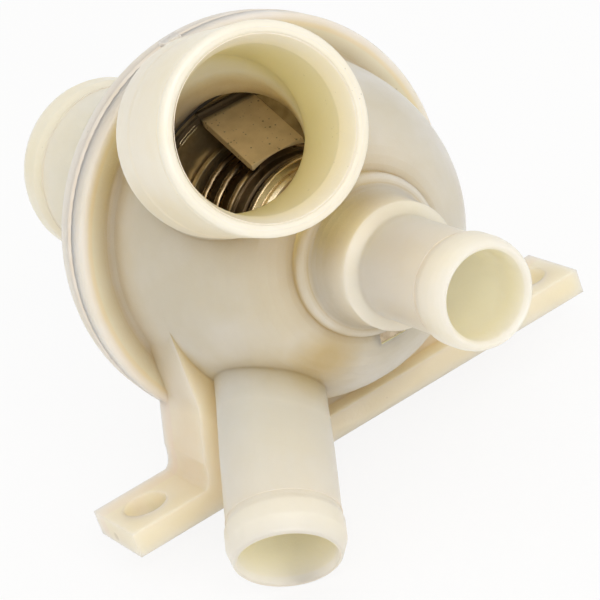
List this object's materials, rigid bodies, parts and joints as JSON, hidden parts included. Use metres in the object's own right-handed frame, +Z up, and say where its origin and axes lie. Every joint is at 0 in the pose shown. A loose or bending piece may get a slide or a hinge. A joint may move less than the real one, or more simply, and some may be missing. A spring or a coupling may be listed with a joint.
{
  "type": "diverter valve",
  "caption": "Cream plastic coolant diverter valve with four hose ports, a two-hole bracket bar and a wax thermostat inside.",
  "frame": {"origin": "middle of the two bracket holes, on the underside of the bracket bar", "axes": "+Z up from the bar's underside, +X along the bar, +Y towards the outlet; the other three ports look towards -Y"},
  "size_m": [0.11, 0.1527, 0.1058],
  "materials": {
    "nylon": "natural, slightly glossy",
    "rubber": "matte",
    "plate_metal": "stamped, dull",
    "brass_strip": "dull, speckled",
    "cup_brass": "turned",
    "steel": "drawn wire",
    "wax": "waxy"
  },
  "bodies": {
    "housing": {"front_housing": "nylon", "rear_cover": "nylon", "joint_seal": "rubber", "plate_gasket": "rubber", "thermostat_plate": "plate_metal", "rear_bridge": "brass_strip", "piston": "steel", "cage": "brass_strip", "spring_seat": "plate_metal", "main_spring": "steel"},
    "capsule": {"main_valve": "plate_metal", "valve_lip": "rubber", "wax_cup": "cup_brass", "wax_charge": "wax", "rubber_sleeve": "rubber", "guide_bush": "cup_brass", "bypass_stem": "cup_brass", "bypass_spring": "steel", "stem_clip": "steel", "stem_washer": "steel"},
    "bypass": {"bypass_disc": "plate_metal"},
    "vent": {"vent_pin": "plate_metal"}
  },
  "joints": [
    {"name": "valve_stroke", "type": "slide", "parent": "housing", "child": "capsule", "axis": [0, -1, 0], "range_m": [0, 0.007], "stiffness_N_per_m": 1500, "springref_m": -0.004, "deforming": ["main_spring"]},
    {"name": "bypass_overrun", "type": "slide", "parent": "capsule", "child": "bypass", "axis": [0, 1, 0], "range_m": [0, 0.002], "stiffness_N_per_m": 300, "springref_m": -0.002, "deforming": ["bypass_spring"]},
    {"name": "vent_float", "type": "slide", "parent": "housing", "child": "vent", "axis": [0, -1, 0], "range_m": [0, 0.0016]}
  ]
}
